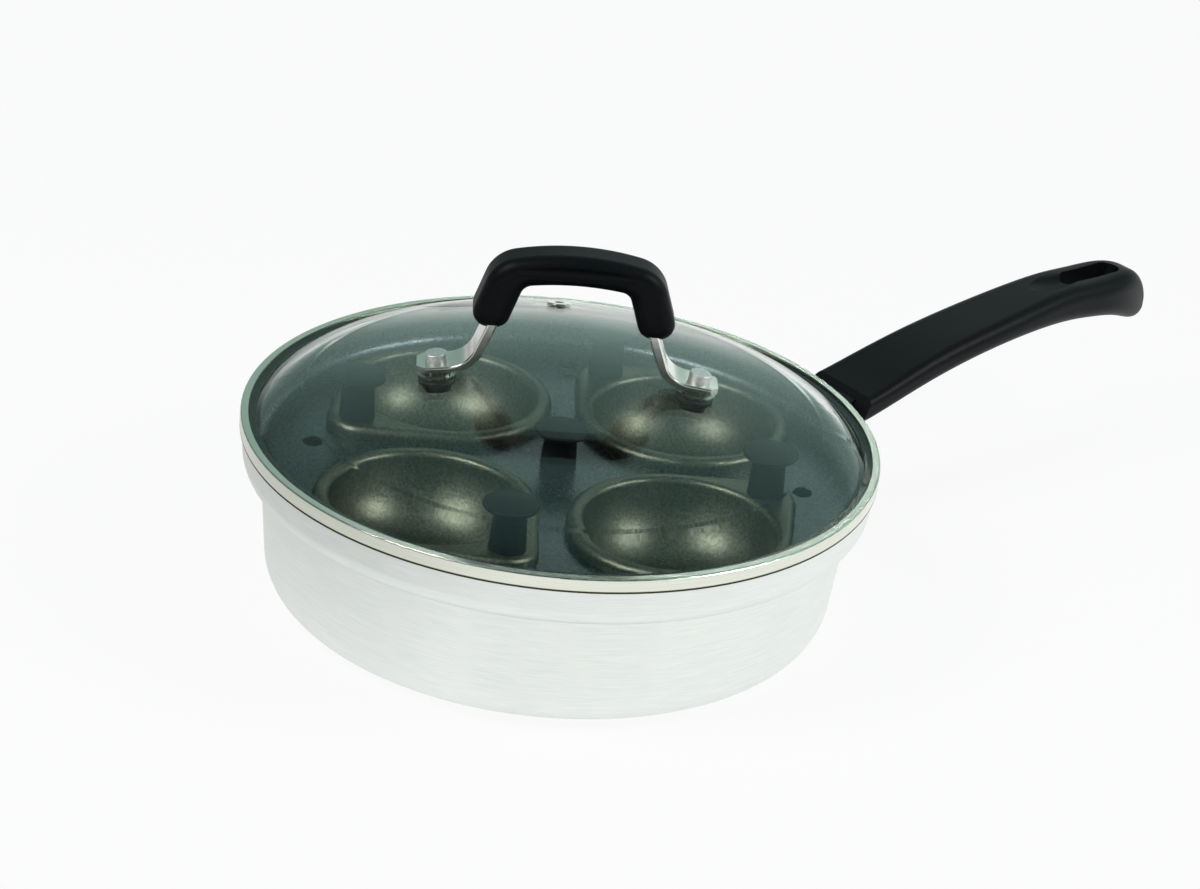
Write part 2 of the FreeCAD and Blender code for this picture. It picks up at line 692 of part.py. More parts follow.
def egg_cup(number):
    place = cup_place(number)
    body = body_named("egg_cup_%d" % number, place)
    flange = sketch_on(body, "flange_outline", "XY_Plane", lift=TRAY_TOP)
    tear_outline(flange, "0")
    plate = pushed(body, "flange", flange, "cup_rise")
    top = edges_where(plate, level_at(value(CUP_TOP)))
    rounded(body, "flange_edge", plate, top, "cup_edge_round")
    hollow = sketch_on(body, "flange_hollow_outline", "XY_Plane", lift=TRAY_TOP)
    tear_outline(hollow, "cup_sheet")
    emptied = pushed(body, "flange_hollow", hollow, "cup_rise - cup_sheet", kind="Pocket", reverse=True)
    under = edges_where(emptied, level_at(value(CUP_UNDER)))
    rounded(body, "flange_hollow_edge", emptied, under, "cup_edge_round - cup_sheet")
    curve = "(cup_bowl_depth - cup_mouth_round)"
    mouth = CUP_TOP + " - cup_mouth_round"
    revolved(body, "bowl_outside", [
        ("0", CUP_UNDER),
        ("cup_bowl_radius + cup_sheet", CUP_UNDER),
        ("cup_bowl_radius + cup_sheet", mouth, curve + " + cup_sheet", -1),
        ("cup_bowl_radius - " + curve, CUP_TOP + " - cup_bowl_depth - cup_sheet"),
        ("0", CUP_TOP + " - cup_bowl_depth - cup_sheet"),
    ])
    revolved(body, "bowl_inside", [
        ("0", CUP_TOP + " + cup_sheet"),
        ("cup_bowl_radius + cup_mouth_round", CUP_TOP + " + cup_sheet"),
        ("cup_bowl_radius + cup_mouth_round", CUP_TOP, "cup_mouth_round", 1),
        ("cup_bowl_radius", mouth, curve, -1),
        ("cup_bowl_radius - " + curve, CUP_TOP + " - cup_bowl_depth"),
        ("0", CUP_TOP + " - cup_bowl_depth"),
    ], kind="Groove")
    hole = sketch_on(body, "knob_hole_outline", "XY_Plane", lift=TRAY_TOP)
    circle(hole, "cup_knob_reach", "0", "screw_radius + screw_hole_clearance")
    pushed(body, "knob_hole", hole, "cup_rise", kind="Pocket", reverse=True)
    keep(body)
    reach = VECTOR(value("cup_knob_reach"), 0, 0)
    knob_place = place.multiply(FreeCAD.Placement(reach + UP * value(CUP_TOP), FreeCAD.Rotation()))
    knob("egg_cup_%d_knob" % number, knob_place, "cup_knob_height")
    screw_place = place.multiply(FreeCAD.Placement(reach + UP * value(CUP_UNDER), FreeCAD.Rotation()))
    screw("egg_cup_%d_screw" % number, screw_place, "cup_sheet + screw_grip")


# Lid glass: flat edge flange, shoulder bend, spherical crown

SHOULDER_TILT = "asin(glass_shoulder_radius / glass_crown_radius)"
SHOULDER_HEIGHT = "(glass_apex_height - glass_crown_radius * (1 - cos(%s)))" % SHOULDER_TILT


def shoulder_bend():
    """Radius of the bend that leaves the crown smoothly and meets the flange."""
    run = "(glass_flange_radius - glass_shoulder_radius)"
    drop = "(%s - %s)" % (GLASS_FLANGE_TOP, SHOULDER_HEIGHT)
    along = "(%s * sin(%s) + %s * cos(%s))" % (run, SHOULDER_TILT, drop, SHOULDER_TILT)
    return "(-(%s ^ 2 + %s ^ 2) / (2 * %s))" % (run, drop, along)


def lid_glass():
    body = body_named("lid_glass", turned_by(value("lid_turn")))
    bend = shoulder_bend()
    middle = "(glass_shoulder_radius - %s * sin(%s))" % (bend, SHOULDER_TILT)
    middle_height = "(%s - %s * cos(%s))" % (SHOULDER_HEIGHT, bend, SHOULDER_TILT)
    inner_bend = "(%s - %s)" % (bend, GLASS)
    inner_flange = "(%s + sqrt(%s ^ 2 - (%s - %s) ^ 2))" % (middle, inner_bend, GLASS_UNDER, middle_height)
    edge = "(rim_radius - rim_sheet - glass_edge_clearance)"
    revolved(body, "glass_turn", [
        ("0", "glass_apex_height - %s" % GLASS, "glass_crown_radius - %s" % GLASS, -1),
        ("glass_shoulder_radius - %s * sin(%s)" % (GLASS, SHOULDER_TILT),
         "%s - %s * cos(%s)" % (SHOULDER_HEIGHT, GLASS, SHOULDER_TILT), inner_bend, -1),
        (inner_flange, GLASS_UNDER),
        (edge, GLASS_UNDER),
        (edge, GLASS_FLANGE_TOP),
        ("glass_flange_radius", GLASS_FLANGE_TOP, bend, 1),
        ("glass_shoulder_radius", SHOULDER_HEIGHT, "glass_crown_radius", 1),
        ("0", "glass_apex_height"),
    ])
    places = [("bolt_hole_right", "bolt_circle", 0, "bolt_radius + bolt_hole_clearance"),
              ("bolt_hole_left", "bolt_circle", 180, "bolt_radius + bolt_hole_clearance"),
              ("grommet_hole", "grommet_circle", 90, "grommet_tube_radius + grommet_clearance")]
    for name, ring, angle, radius in places:
        hole = sketch_on(body, name + "_outline", "XY_Plane", offset=on_dome(ring, angle))
        circle(hole, "0", "0", radius)
        pushed(body, name, hole, "4 * %s" % GLASS, kind="Pocket", both=True)
    return keep(body)


def lid_rim():
    """Rolled channel round the glass, with a skirt that drops inside the pan."""
    base = "pan_rim_height"
    top = "(pan_rim_height + rim_height)"
    inner = "(rim_skirt_radius - rim_sheet)"
    body = body_named("lid_rim", turned_by(value("lid_turn")))
    revolved(body, "rim_turn", [
        ("rim_radius", base),
        ("rim_radius", top + " - rim_round", "rim_round", 1),
        ("rim_radius - rim_round", top),
        ("rim_radius - rim_lip", top),
        ("rim_radius - rim_lip", GLASS_FLANGE_TOP),
        ("rim_radius - rim_sheet", GLASS_FLANGE_TOP),
        ("rim_radius - rim_sheet", GLASS_UNDER),
        (inner, GLASS_UNDER),
        (inner, base + " - rim_skirt_depth"),
        ("rim_skirt_radius", base + " - rim_skirt_depth"),
        ("rim_skirt_radius", base),
    ])
    return keep(body)


def lid_vent_grommet():
    """Eyelet through the glass: a tube with a flange on each face."""
    place = turned_by(value("lid_turn")).multiply(on_dome("grommet_circle", 90))
    body = body_named("lid_vent_grommet", place)
    revolved(body, "grommet_turn", [
        ("grommet_bore", "-%s - glass_seat_gap - grommet_flange_height" % GLASS),
        ("grommet_flange_radius", "-%s - glass_seat_gap - grommet_flange_height" % GLASS),
        ("grommet_flange_radius", "-%s - glass_seat_gap" % GLASS),
        ("grommet_tube_radius", "-%s - glass_seat_gap" % GLASS),
        ("grommet_tube_radius", "0"),
        ("grommet_flange_radius", "0"),
        ("grommet_flange_radius", "grommet_flange_height / 2", "grommet_flange_height / 2", 1),
        ("grommet_flange_radius - grommet_flange_height / 2", "grommet_flange_height"),
        ("grommet_bore", "grommet_flange_height"),
    ])
    return keep(body)


# Lid fasteners, one pair each: collar, bolt, gasket and nut stand square to the glass

def pair(label, steps):
    """Two turned pieces, one at each end of the lid handle, kept as one group."""
    bodies = []
    for side, angle in (("right", 0), ("left", 180)):
        place = turned_by(value("lid_turn")).multiply(on_dome("bolt_circle", angle))
        body = body_named("%s_%s" % (label, side), place)
        revolved(body, "%s_%s_turn" % (label, side), steps)
        bodies.append(body)
    group = doc.addObject("Part::Compound", label)
    group.Label = label
    group.Links = bodies
    doc.recompute()
    return keep(group)


def lid_fasteners():
    under = "(-%s - glass_seat_gap)" % GLASS
    hole = "bolt_radius + screw_hole_clearance"
    pair("lid_collars", [
        (hole, "0"),
        ("collar_flange_radius", "0"),
        ("collar_flange_radius", "collar_flange_height"),
        ("collar_radius", "collar_flange_height"),
        ("collar_radius", "collar_height"),
        (hole, "collar_height"),
    ])
    head = "(collar_height + strap_thickness)"
    pair("lid_bolts", [
        ("0", under + " - gasket_height - nut_height"),
        ("bolt_radius", under + " - gasket_height - nut_height"),
        ("bolt_radius", head),
        ("bolt_head_radius", head),
        ("bolt_head_radius", head + " + bolt_head_height - bolt_head_round", "bolt_head_round", 1),
        ("bolt_head_radius - bolt_head_round", head + " + bolt_head_height"),
        ("0", head + " + bolt_head_height"),
    ])
    pair("lid_gaskets", [
        (hole, under + " - gasket_height"),
        ("gasket_radius", under + " - gasket_height"),
        ("gasket_radius", under),
        (hole, under),
    ])
    pair("lid_nuts", [
        (hole, under + " - gasket_height - nut_height"),
        ("nut_radius", under + " - gasket_height - nut_height"),
        ("nut_radius", under + " - gasket_height"),
        (hole, under + " - gasket_height"),
    ])


# Lid straps: a foot on the collar, a bend, and a channelled leg that ends inside the grip

TILT = "asin(bolt_circle / glass_crown_radius)"
FOOT = "(bolt_circle + collar_height * sin(%s))" % TILT
FOOT_RISE = "((glass_crown_radius + collar_height) * cos(%s))" % TILT
FOOT_HEIGHT = "(glass_apex_height - glass_crown_radius + %s)" % FOOT_RISE
RISE_SIN = "sin(strap_rise * 1 deg)"
RISE_COS = "cos(strap_rise * 1 deg)"


def foot_point(along, lift):
    """Point on the slanted foot: a way outward along it and a height square to it."""
    return ("%s + (%s) * cos(%s) + (%s) * sin(%s)" % (FOOT, along, TILT, lift, TILT),
            "%s - (%s) * sin(%s) + (%s) * cos(%s)" % (FOOT_HEIGHT, along, TILT, lift, TILT))


SHEET_BEND = "(strap_bend + strap_thickness)"
BACK_BEND = "(strap_bend + strap_leg_depth)"
BACK_SHIFT = "((strap_leg_depth - strap_thickness) / sin(strap_rise * 1 deg - %s))" % TILT
BEND_MIDDLE = foot_point("-strap_run", SHEET_BEND)
BACK_MIDDLE = foot_point("-strap_run - " + BACK_SHIFT, SHEET_BEND)


def bend_end(radius, middle=BEND_MIDDLE):
    """Where the bend passes into the rising leg, on a face at a radius from the bend's middle."""
    return ("%s - (%s) * %s" % (middle[0], radius, RISE_SIN),
            "%s - (%s) * %s" % (middle[1], radius, RISE_COS))


def leg_point(radius, height):
    """Point at a height on one face of the rising leg."""
    x, z = bend_end(radius)
    return ("%s - (%s - (%s)) / tan(strap_rise * 1 deg)" % (x, height, z), height)


def lid_strap(label, angle):
    body = body_named(label, turned_by(value("lid_turn") + angle))
    strip = sketch_on(body, "strip_outline", "XZ_Plane")
    outline(strip, [
        foot_point("strap_tip", "0"),
        foot_point("strap_tip", "strap_thickness"),
        foot_point("-strap_run", "strap_thickness") + ("strap_bend", -1),
        bend_end("strap_bend"),
        leg_point("strap_bend", "strap_end_height"),
        leg_point(BACK_BEND, "strap_end_height"),
        bend_end(SHEET_BEND, BACK_MIDDLE) + (SHEET_BEND, 1),
        foot_point("-strap_run - " + BACK_SHIFT, "0"),
    ])
    solid = pushed(body, "strip", strip, "strap_width", both=True)
    side = value("strap_width / 2")
    edges = edges_where(solid, lambda box: abs(abs(box.YMin) - side) < 0.01 and box.YLength < 0.01)
    rounded(body, "strip_round", solid, edges, "strap_edge_round")
    hole = sketch_on(body, "strap_hole_outline", "XY_Plane", offset=on_dome("bolt_circle", 0))
    circle(hole, "0", "0", "bolt_radius + screw_hole_clearance")
    pushed(body, "strap_hole", hole, "4 * collar_height", kind="Pocket", both=True)
    corners = sketch_on(body, "strap_corner_outline", "XY_Plane")
    tip = FOOT + " + strap_tip"
    inner = "%s - strap_corner" % tip
    for sign in ("", "-"):
        outline(corners, [
            (inner, sign + "(strap_width / 2 + strap_corner)"),
            (inner, sign + "strap_width / 2"),
            (tip, sign + "(strap_width / 2 - strap_corner)"),
            (tip + " + strap_corner", sign + "(strap_width / 2 - strap_corner)"),
            (tip + " + strap_corner", sign + "(strap_width / 2 + strap_corner)"),
        ])
    pushed(body, "strap_corners", corners, "strap_end_height", kind="Pocket", reverse=True)
    channel = sketch_on(body, "leg_channel_outline", "XZ_Plane")
    behind = "strap_bend + 2 * strap_leg_depth"
    outline(channel, [
        foot_point("-strap_run", "0") + (SHEET_BEND, -1),
        bend_end(SHEET_BEND),
        leg_point(SHEET_BEND, "strap_end_height + strap_thickness"),
        leg_point(behind, "strap_end_height + strap_thickness"),
        foot_point("-strap_run - 2 * strap_bend", "-strap_thickness"),
    ])
    pushed(body, "leg_channel", channel, "strap_width - 2 * strap_thickness", kind="Pocket", both=True)
    return keep(body)


# Lid grip: moulded arch with rounded edges, a finger scoop in each side and a socket in each leg

def leg_line(offset, height):
    """Reach at a height of a line along the leg, offset outward from the shoulder's middle."""
    along = "(%s - shoulder_height) * grip_leg_sine" % height
    return "(shoulder_reach + (%s - %s) / grip_leg_cosine)" % (offset, along)


def leg_round(offset, height, radius):
    """Where a round about a middle on such a line touches the leg's face."""
    return ("%s + (%s) * grip_leg_cosine" % (leg_line(offset, height), radius),
            "%s + (%s) * grip_leg_sine" % (height, radius))


def arch_corner():
    """Radius of the bend that leaves the bar's underside smoothly and meets the leg's inner face."""
    out = "(arch_half - shoulder_reach) * grip_leg_cosine"
    up = "(arch_height - shoulder_height) * grip_leg_sine"
    turn = "(1 - arch_sine * grip_leg_cosine - arch_cosine * grip_leg_sine)"
    return "((grip_shoulder - grip_leg_width - %s - %s) / %s)" % (out, up, turn)


def lid_grip():
    body = body_named("lid_grip", turned_by(value("lid_turn")))
    arch = sketch_on(body, "arch_outline", "XZ_Plane")
    outer = "(grip_shoulder - grip_foot_corner)"
    inner = "(grip_shoulder - grip_leg_width + grip_foot_corner)"
    foot = "(grip_foot_height + grip_foot_corner)"
    corner_bend = arch_corner()
    right = [
        (("arch_half", "arch_height"), (corner_bend, -1)),
        (("arch_half + %s * (grip_leg_cosine - arch_sine)" % corner_bend,
          "arch_height + %s * (grip_leg_sine - arch_cosine)" % corner_bend), ()),
        (leg_round(inner, foot, "-grip_foot_corner"), ("grip_foot_corner", 1)),
        ((leg_line(inner, foot), "grip_foot_height"), ()),
        ((leg_line(outer, foot), "grip_foot_height"), ("grip_foot_corner", 1)),
        (leg_round(outer, foot, "grip_foot_corner"), ()),
        (leg_round("0", "shoulder_height", "grip_shoulder"), ("grip_shoulder", 1)),
        (("grip_top_half", "grip_top_height - grip_top_sag"), ("grip_top_bend", 1)),
    ]
    bends = [bend for corner, bend in right]
    mirrored = reversed([("arch_bend", -1)] + bends[:-1])
    left = [(("-(%s)" % corner[0], corner[1]), bend)
            for (corner, _), bend in zip(reversed(right), mirrored)]
    outline(arch, [corner + bend for corner, bend in right + left])
    solid = pushed(body, "arch", arch, "grip_depth", both=True)
    face = value("grip_depth / 2")
    edges = edges_where(solid, lambda box: abs(abs(box.YMin) - face) < 0.01 and box.YLength < 0.01)
    rounded(body, "arch_round", solid, edges, "grip_edge_round")
    for side, sign in (("front", "-"), ("back", "")):
        scoop = body.newObject("PartDesign::SubtractiveEllipsoid", "finger_scoop_" + side)
        bind(scoop, "Radius1", "finger_scoop_half_height")
        bind(scoop, "Radius2", "finger_scoop_half_length")
        bind(scoop, "Radius3", "finger_scoop_half_width")
        bind(scoop, "Placement.Base.y", sign + "finger_scoop_out")
        bind(scoop, "Placement.Base.z", "finger_scoop_height")
        doc.recompute()
    for sign in ("", "-"):
        socket = sketch_on(body, "strap_socket_outline", "XZ_Plane")
        outer = BACK_BEND + " + strap_clearance"
        inner = "strap_bend - strap_clearance"
        low = "grip_foot_height - grip_foot_corner"
        high = "strap_end_height + strap_clearance"
        corners = [leg_point(outer, low), leg_point(inner, low),
                   leg_point(inner, high), leg_point(outer, high)]
        outline(socket, [("%s(%s)" % (sign, x), z) for x, z in corners])
        pushed(body, "strap_socket", socket, "strap_width + 2 * strap_clearance", kind="Pocket", both=True)
    return keep(body)


def check(thing):
    """Stop if an object failed, or a piece has no sound shape."""
    if "Invalid" in thing.State or "Error" in thing.State:
        raise RuntimeError("%s did not build" % thing.Label)
    if thing in nodes and (thing.Shape.isNull() or not thing.Shape.isValid()):
        raise RuntimeError("%s has no sound shape" % thing.Label)


pan_shell()
handle_bracket()
pan_handle()
handle_screw()
poaching_tray()
tray_knob()
for cup_number in range(1, int(value("cup_count")) + 1):
    egg_cup(cup_number)
lid_glass()
lid_rim()
lid_vent_grommet()
lid_fasteners()
lid_strap("lid_strap_right", 0)
lid_strap("lid_strap_left", 180)
lid_grip()
doc.recompute()

for thing in doc.Objects:
    check(thing)
os.makedirs("parts", exist_ok=True)
for node in nodes:
    node.Shape.exportStep("parts/%s.step" % node.Label)
    print(node.Label, len(node.Shape.Solids), round(node.Shape.Volume, 1))
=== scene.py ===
import json
import math

import bpy
from mathutils import Matrix, Vector

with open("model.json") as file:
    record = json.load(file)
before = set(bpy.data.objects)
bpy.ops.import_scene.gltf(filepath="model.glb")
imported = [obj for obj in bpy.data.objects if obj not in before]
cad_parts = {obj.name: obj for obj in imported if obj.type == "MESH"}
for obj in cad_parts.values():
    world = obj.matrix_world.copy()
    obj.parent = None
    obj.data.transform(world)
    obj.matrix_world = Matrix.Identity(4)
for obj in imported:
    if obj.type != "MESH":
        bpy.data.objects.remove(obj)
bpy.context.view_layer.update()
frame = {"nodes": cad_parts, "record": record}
NODES = frame["nodes"]
MM = 0.001

# Lid band, in millimetres: the height of its lower edge, and the thin line of painted shade just above it, for
# the shadow in the gap between the band and the pan's rim
BAND_FOOT = 54.4
GAP_SHADE_LINE = 0.55
GAP_SHADE_FADE = 0.25

# Patterns of the finishes, in millimetres: how wide they are drawn and how deep they are
SCRATCH_LENGTH, SCRATCH_GAP, SCRATCH_DEPTH = 11, 0.3, 0.05
CLOUD_WIDTH, CLOUD_HEIGHT = 14, 9
SHEET_GRAIN_LENGTH = 20
PIT_WIDTH, PIT_DEPTH = 0.9, 0.15
PEEL_WIDTH, PEEL_DEPTH = 0.8, 0.08
SWELL_WIDTH, SWELL_DEPTH = 3, 0.1
PEBBLE_WIDTH, PEBBLE_DEPTH = 0.95, 0.12
WAVE_WIDTH, WAVE_DEPTH = 30, 0.2
BLOOM_WIDTH = 2

# The photo's view, found from the pan's rims and the lid band
VIEW_AZIMUTH = math.radians(-42.0)
VIEW_ELEVATION = math.radians(25.83)
VIEW_ROLL = math.radians(6.31)
VIEW_DISTANCE = 1.166
VIEW_AIM = Vector((0.01063, -0.00732, 0.05346))
SENSOR_WIDTH = 36.0
LENS = 108.51

# Colours of the backdrop light, from level (0) to straight up (1)
SWEEP_FOOT = "FFFFFF"
SWEEP_TOP = "6C8681"
SWEEP_BETWEEN = ((0.04, "DEEBE6"), (0.13, "ACC5BE"), (0.29, "9CB5AF"), (0.44, "8DA7A1"), (0.6, "7D9791"))
SWEEP_LEFT_SHARE = 0.34
SWEEP_FRONT_SHARE = 0.2

# The floor, in metres, and how much of what is seen of it is its own glow
FLOOR_REACH = 3.0
FLOOR_HEIGHT = -0.0002
FLOOR_LEFT_SHARE = 0.42
FLOOR_GLOW = 0.9

# Soft boxes: place to the right, back and up in metres, width, height and watts
SOFT_BOX_AIM = Vector((0.0, 0.0, 0.05))
SOFT_BOXES = {
    "left_soft_box": ((-0.75, -0.5, 1.1), 0.65, 0.65, 9.0),
    "right_soft_box": ((1.15, -0.2, 1.0), 0.65, 0.65, 8.5),
    "back_soft_box": ((0.35, 1.2, 0.75), 1.0, 0.5, 0.7),
}


def linear(code):
    """An sRGB hex colour as linear red, green, blue and alpha."""
    channels = []
    for start in (0, 2, 4):
        level = int(code[start:start + 2], 16) / 255
        channels.append(level / 12.92 if level <= 0.04045 else ((level + 0.055) / 1.055) ** 2.4)
    return (*channels, 1.0)


def add(tree, kind, inputs=None, **settings):
    """A node with its settings; an input is a plain value or the output that feeds it."""
    node = tree.nodes.new(kind)
    for name, value in settings.items():
        setattr(node, name, value)
    for name, value in (inputs or {}).items():
        if isinstance(value, bpy.types.NodeSocket):
            tree.links.new(value, node.inputs[name])
        else:
            node.inputs[name].default_value = value
    return node


def finish_named(name, **sockets):
    """A material with one Principled shader, its steady values set on the shader's own sockets."""
    material = bpy.data.materials.new(name)
    material.use_nodes = True
    tree = material.node_tree
    tree.nodes.clear()
    shader = add(tree, "ShaderNodeBsdfPrincipled",
                 {key.replace("_", " "): value for key, value in sockets.items()})
    output = add(tree, "ShaderNodeOutputMaterial", {"Surface": shader.outputs["BSDF"]})
    return material, tree, shader, output


def feed(tree, shader, **outputs):
    """Link each output to the shader's socket of that name."""
    for name, output in outputs.items():
        tree.links.new(output, shader.inputs[name.replace("_", " ")])


def stretched(tree, level, upright=None):
    """Coordinates on the piece, one unit for each given length in millimetres, level and upright."""
    upright = level if upright is None else upright
    place = add(tree, "ShaderNodeTexCoord")
    return add(tree, "ShaderNodeMapping",
               {"Vector": place.outputs["Object"],
                "Scale": (1 / (level * MM), 1 / (level * MM), 1 / (upright * MM))}).outputs["Vector"]


def spun_aluminium():
    # Bare aluminium spun on a lathe and scuffed with a pad: satin, nearly white, with fine level
    # scratches. Real scratches are about 0.05 mm apart; they are drawn wider so that they show.
    material, tree, shader, _ = finish_named("spun_satin_aluminium", Metallic=1.0)
    scratches = add(tree, "ShaderNodeTexNoise",
                    {"Vector": stretched(tree, SCRATCH_LENGTH, SCRATCH_GAP),
                     "Scale": 1.0, "Detail": 3.0, "Roughness": 0.6})
    cloud = add(tree, "ShaderNodeTexNoise",
                {"Vector": stretched(tree, CLOUD_WIDTH, CLOUD_HEIGHT), "Scale": 1.0, "Detail": 4.0})
    tone = add(tree, "ShaderNodeValToRGB", {"Fac": scratches.outputs["Fac"]})
    for stop, place, shade in zip(tone.color_ramp.elements, (0.3, 0.7), ("EAF0EC", "F8FBF7")):
        stop.position, stop.color = place, linear(shade)
    rough = add(tree, "ShaderNodeMapRange",
                {"Value": cloud.outputs["Fac"], "To Min": 0.34, "To Max": 0.46})
    bump = add(tree, "ShaderNodeBump",
               {"Height": scratches.outputs["Fac"], "Strength": 0.06, "Distance": SCRATCH_DEPTH * MM})
    feed(tree, shader, Base_Color=tone.outputs["Color"], Roughness=rough.outputs["Result"],
         Normal=bump.outputs["Normal"])
    return material


def steel(name, dark, light, rough, grain, gap_shade_foot=None):
    # Stainless sheet: a metal a little warmer than aluminium; rolled sheet keeps a fine level grain,
    # and a polished one keeps only a faint waviness. Given the height of a lower edge, a thin dark line of
    # painted shade is drawn just above it, for the shadow in the gap under the band.
    material, tree, shader, _ = finish_named(name, Metallic=1.0)
    lines = add(tree, "ShaderNodeTexNoise",
                {"Vector": stretched(tree, SHEET_GRAIN_LENGTH, grain), "Scale": 1.0, "Detail": 3.0})
    tone = add(tree, "ShaderNodeMix",
               {"Factor": lines.outputs["Fac"], "A": linear(dark), "B": linear(light)},
               data_type="RGBA")
    spread = add(tree, "ShaderNodeMapRange",
                 {"Value": lines.outputs["Fac"], "To Min": rough * 0.8, "To Max": rough * 1.25})
    colour = tone.outputs["Result"]
    # Painted shade: a thin dark line above the lower edge, for the shadow in the gap under the band
    if gap_shade_foot is not None:
        place = add(tree, "ShaderNodeTexCoord")
        height = add(tree, "ShaderNodeSeparateXYZ", {"Vector": place.outputs["Object"]})
        above = add(tree, "ShaderNodeMapRange",
                    {"Value": height.outputs["Z"], "From Min": (gap_shade_foot + GAP_SHADE_LINE) * MM,
                     "From Max": (gap_shade_foot + GAP_SHADE_LINE + GAP_SHADE_FADE) * MM})
        # The dark colour 3B382B here is painted shade, not a mark on the steel
        gap_shaded = add(tree, "ShaderNodeMix",
                     {"Factor": above.outputs["Result"], "A": linear("3B382B"), "B": colour},
                     data_type="RGBA")
        colour = gap_shaded.outputs["Result"]
    feed(tree, shader, Base_Color=colour, Roughness=spread.outputs["Result"])
    return material


def tumbled_steel():
    # Plated bolt with a tumbled head: dull grey, with small pits that scatter the light.
    material, tree, shader, _ = finish_named("tumbled_plated_steel", Metallic=1.0, Roughness=0.5)
    pits = add(tree, "ShaderNodeTexVoronoi", {"Vector": stretched(tree, PIT_WIDTH), "Scale": 1.0})
    tone = add(tree, "ShaderNodeMix",
               {"Factor": pits.outputs["Distance"], "A": linear("D6D9D6"), "B": linear("F8F9F7")},
               data_type="RGBA")
    bump = add(tree, "ShaderNodeBump",
               {"Height": pits.outputs["Distance"], "Strength": 0.5, "Distance": PIT_DEPTH * MM})
    feed(tree, shader, Base_Color=tone.outputs["Result"], Normal=bump.outputs["Normal"])
    return material


def black_phenolic(name, gloss):
    # Compression-moulded phenolic: near black, with a very fine orange-peel skin that spreads the
    # highlights into soft grey bands. The long handle is satin; the lid's grip came out duller.
    material, tree, shader, _ = finish_named(name, IOR=1.5, Specular_IOR_Level=gloss)
    skin = add(tree, "ShaderNodeTexNoise",
               {"Vector": stretched(tree, PEEL_WIDTH), "Scale": 1.0, "Detail": 2.0})
    tone = add(tree, "ShaderNodeMix",
               {"Factor": skin.outputs["Fac"], "A": linear("0B0D10"), "B": linear("14171A")},
               data_type="RGBA")
    rough = add(tree, "ShaderNodeMapRange",
                {"Value": skin.outputs["Fac"], "To Min": 0.36, "To Max": 0.48})
    bump = add(tree, "ShaderNodeBump",
               {"Height": skin.outputs["Fac"], "Strength": 0.12, "Distance": PEEL_DEPTH * MM})
    feed(tree, shader, Base_Color=tone.outputs["Result"], Roughness=rough.outputs["Result"],
         Normal=bump.outputs["Normal"])
    return material


def black_enamel():
    # Stoved enamel on sheet steel: black and satin, a little smoother than the moulded handle, with
    # the low swell that the coat keeps from spraying.
    material, tree, shader, _ = finish_named("stoved_black_enamel", IOR=1.5, Specular_IOR_Level=0.3)
    swell = add(tree, "ShaderNodeTexNoise",
                {"Vector": stretched(tree, SWELL_WIDTH), "Scale": 1.0, "Detail": 2.0})
    tone = add(tree, "ShaderNodeMix",
               {"Factor": swell.outputs["Fac"], "A": linear("0C0E10"), "B": linear("15181A")},
               data_type="RGBA")
    rough = add(tree, "ShaderNodeMapRange",
                {"Value": swell.outputs["Fac"], "To Min": 0.3, "To Max": 0.4})
    bump = add(tree, "ShaderNodeBump",
               {"Height": swell.outputs["Fac"], "Strength": 0.1, "Distance": SWELL_DEPTH * MM})
    feed(tree, shader, Base_Color=tone.outputs["Result"], Roughness=rough.outputs["Result"],
         Normal=bump.outputs["Normal"])
    return material


def nonstick_coating(name, dark, light, smooth, pebble):
    # Non-stick with metal flake over aluminium: dark grey that flashes gold where a lamp catches it,
    # pebbled at about half a millimetre and drawn twice as coarse, so that it shows. Sprayed on the
    # cups it is rougher, so that highlights break into soft grains; rolled on the flat tray it is
    # smoother.
    material, tree, shader, _ = finish_named(name, Metallic=0.97)
    pebbles = add(tree, "ShaderNodeTexNoise",
                  {"Vector": stretched(tree, PEBBLE_WIDTH), "Scale": 1.0, "Detail": 3.0, "Roughness": 0.6})
    tone = add(tree, "ShaderNodeValToRGB", {"Fac": pebbles.outputs["Fac"]})
    for stop, place, shade in zip(tone.color_ramp.elements, (0.35, 0.7), (dark, light)):
        stop.position, stop.color = place, linear(shade)
    rough = add(tree, "ShaderNodeMapRange",
                {"Value": pebbles.outputs["Fac"], "To Min": smooth, "To Max": smooth + 0.08})
    bump = add(tree, "ShaderNodeBump",
               {"Height": pebbles.outputs["Fac"], "Strength": pebble, "Distance": PEBBLE_DEPTH * MM})
    feed(tree, shader, Base_Color=tone.outputs["Color"], Roughness=rough.outputs["Result"],
         Normal=bump.outputs["Normal"])
    return material


def tempered_glass():
    # Pressed soda-lime glass: clear with a faint grey-green cast, polished, with a trace of
    # waviness from the press. Lamp light is let through to what lies under it.
    material, tree, shader, output = finish_named(
        "pressed_tempered_glass", Base_Color=linear("E9F1EC"), Roughness=0.0, IOR=1.5,
        Transmission_Weight=1.0, Specular_Tint=linear("DCFFFF"))
    wave = add(tree, "ShaderNodeTexNoise",
               {"Vector": stretched(tree, WAVE_WIDTH), "Scale": 1.0, "Detail": 1.0})
    bump = add(tree, "ShaderNodeBump",
               {"Height": wave.outputs["Fac"], "Strength": 0.05, "Distance": WAVE_DEPTH * MM})
    feed(tree, shader, Normal=bump.outputs["Normal"])
    passing = add(tree, "ShaderNodeBsdfTransparent", {"Color": linear("F3F8F5")})
    path = add(tree, "ShaderNodeLightPath")
    either = add(tree, "ShaderNodeMixShader",
                 {"Fac": path.outputs["Is Shadow Ray"], 1: shader.outputs["BSDF"], 2: passing.outputs["BSDF"]})
    tree.links.new(either.outputs["Shader"], output.inputs["Surface"])
    return material


